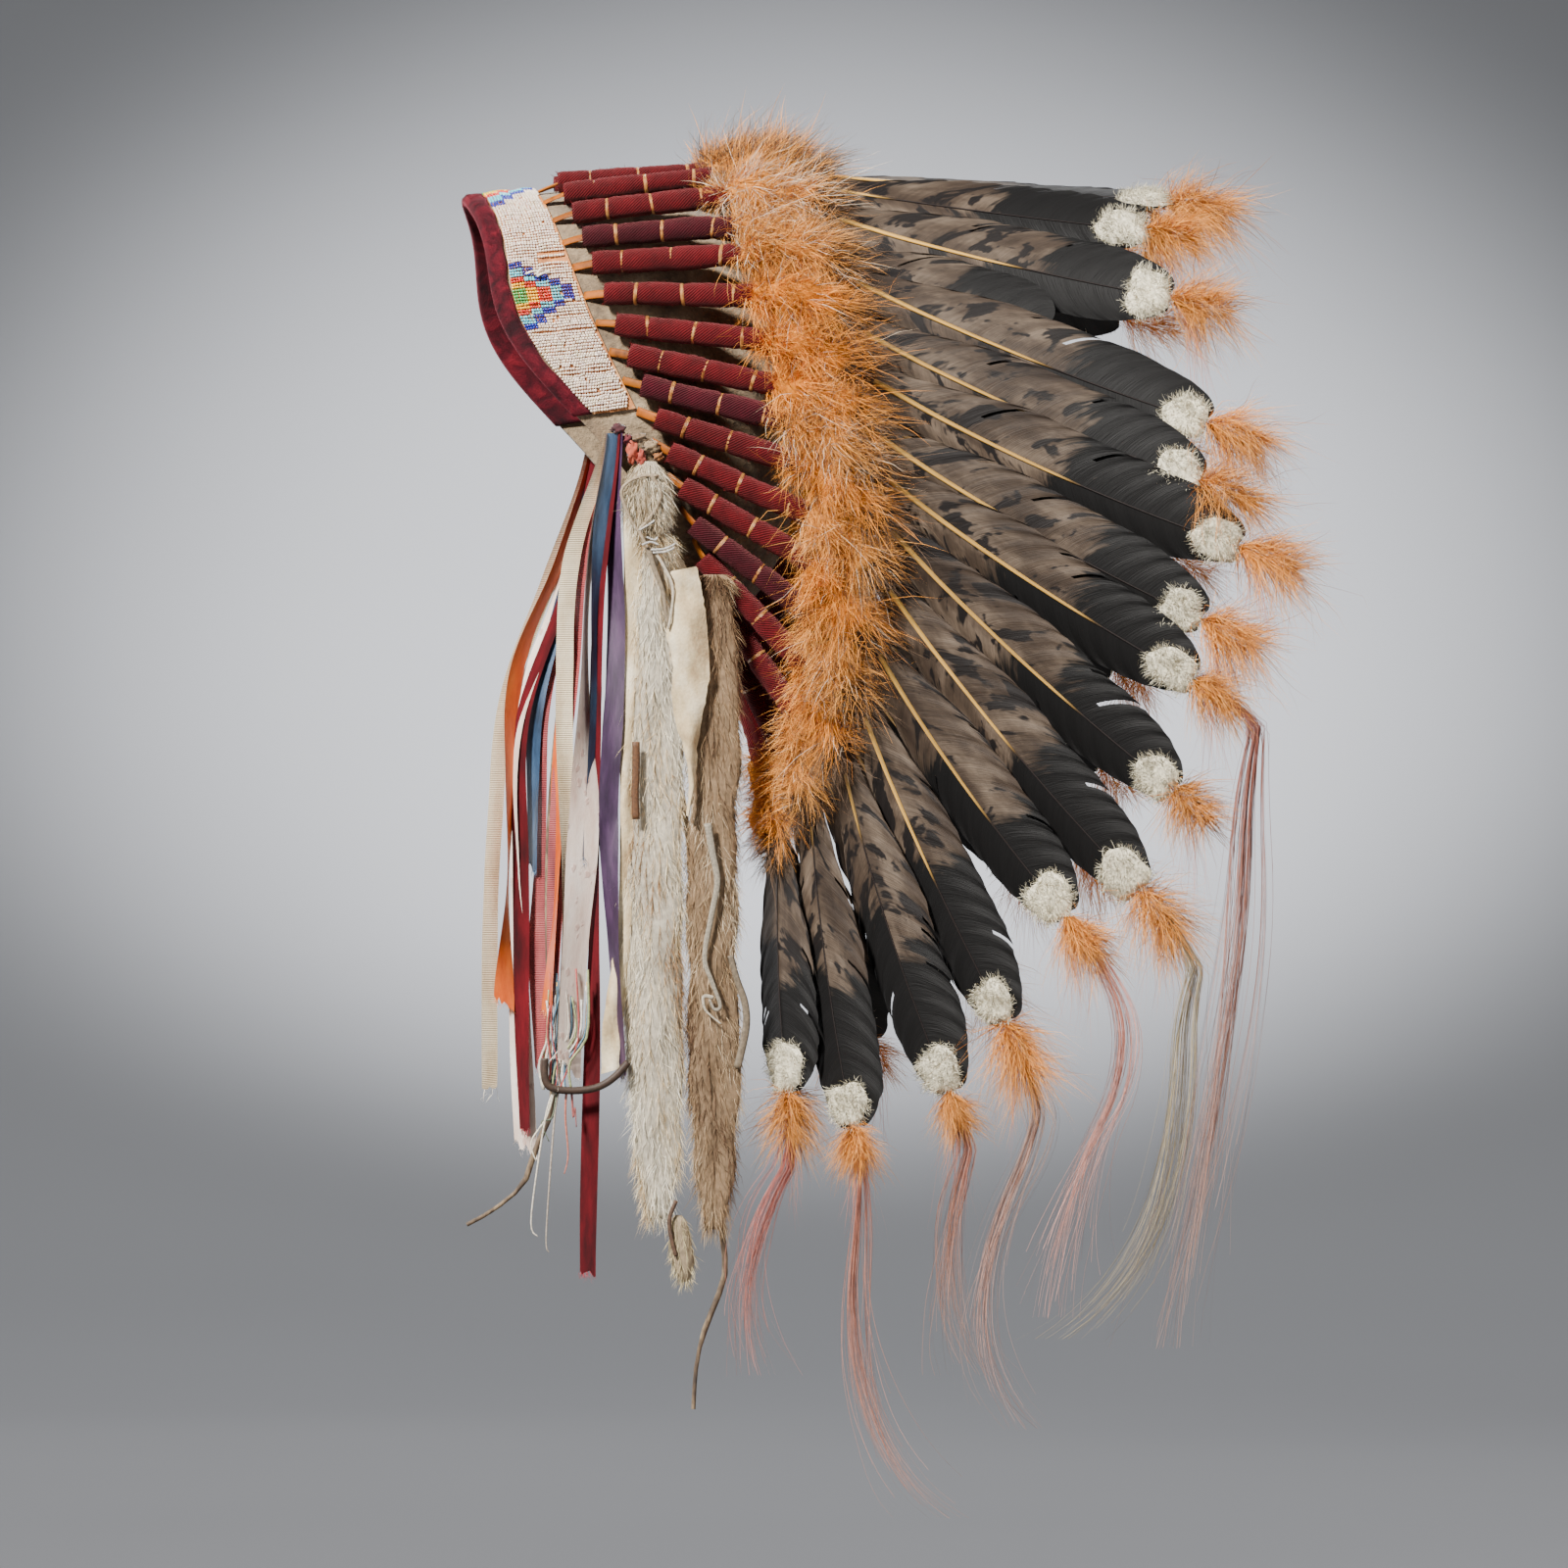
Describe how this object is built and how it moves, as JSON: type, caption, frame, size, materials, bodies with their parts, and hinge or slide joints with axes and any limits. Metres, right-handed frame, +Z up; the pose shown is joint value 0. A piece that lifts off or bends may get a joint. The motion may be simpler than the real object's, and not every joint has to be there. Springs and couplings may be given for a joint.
{
  "type": "feathered headdress",
  "caption": "Hollow felt cap with a beaded brow band and two trailing fans of red wrapped feathers, hair locks, hanging ribbons and strips of fur, worn on a head.",
  "frame": {"origin": "inside of the cap's crown, where the cap sits on a head", "axes": "+Z up, -X towards the front of the wearer's face, -Y the wearer's left side"},
  "size_m": [0.4942, 0.4129, 0.8101],
  "materials": {
    "felt": "matt brushed hide and felt, grey brown, mottled",
    "beads": "glossy small glass seed beads, cream, with blue, red, yellow and green steps",
    "velvet": "dark red velvet pile",
    "feather": "brown and black barred feather vanes, soft sheen",
    "wool": "matt red felted wool twill",
    "sinew": "tan sinew and hide loops, satin",
    "quill": "golden quill, satin",
    "down": "soft orange down with grey brown roots",
    "down_dark": "soft dark grey brown down",
    "hide_pad": "cream fluffy hide",
    "hair": "fine dyed horsehair, pink, cream and red brown",
    "ribbon_cream": "cream grosgrain",
    "ribbon_orange": "orange silk",
    "ribbon_salmon": "salmon grosgrain",
    "ribbon_brocade": "pale pink white brocade silk",
    "ribbon_blue": "blue silk satin",
    "ribbon_burgundy": "burgundy velvet ribbon",
    "ribbon_purple": "dark purple silk",
    "fur": "cream white fur over hide",
    "fur_tan": "tan and brown fur over hide",
    "hide": "dark dry hide"
  },
  "bodies": {
    "root": {"cap": "felt", "brow_band": "beads", "band_binding": "velvet", "feather_near_01": "feather", "feather_near_02": "feather", "feather_near_03": "feather", "feather_near_04": "feather", "feather_near_05": "feather", "feather_near_06": "feather", "feather_near_07": "feather", "feather_near_08": "feather", "feather_near_09": "feather", "feather_near_10": "feather", "feather_near_11": "feather", "feather_near_12": "feather", "feather_near_13": "feather", "feather_near_14": "feather", "feather_near_15": "feather", "feather_near_16": "feather", "feather_far_01": "feather", "feather_far_02": "feather", "feather_far_03": "feather", "feather_far_04": "feather", "feather_far_05": "feather", "feather_far_06": "feather", "feather_far_07": "feather", "feather_far_08": "feather", "feather_far_09": "feather", "feather_far_10": "feather", "feather_far_11": "feather", "feather_far_12": "feather", "feather_far_13": "feather", "feather_far_14": "feather", "feather_far_15": "feather", "feather_far_16": "feather", "hair_lock_1": "hair", "hair_lock_2": "hair", "hair_lock_3": "hair", "hair_lock_4": "hair", "hair_lock_5": "hair", "hair_lock_6": "hair", "hair_lock_7": "hair", "ribbon_near_orange": "ribbon_orange", "ribbon_near_burgundy": "ribbon_burgundy", "ribbon_near_salmon": "ribbon_salmon", "ribbon_near_brocade": "ribbon_brocade", "ribbon_near_purple": "ribbon_purple", "ribbon_near_blue": "ribbon_blue", "ribbon_near_cream": "ribbon_cream", "ribbon_far_burgundy": "ribbon_burgundy", "ribbon_far_navy": "ribbon_blue", "ribbon_far_salmon": "ribbon_salmon", "ribbon_far_brocade": "ribbon_brocade", "ribbon_far_orange": "ribbon_orange", "ribbon_far_cream": "ribbon_cream", "fur_knot": "fur", "fur_strip_long": "fur", "fur_strip_tan": "fur_tan", "thong_front": "hide", "thong_rear": "hide"}
  },
  "joints": []
}
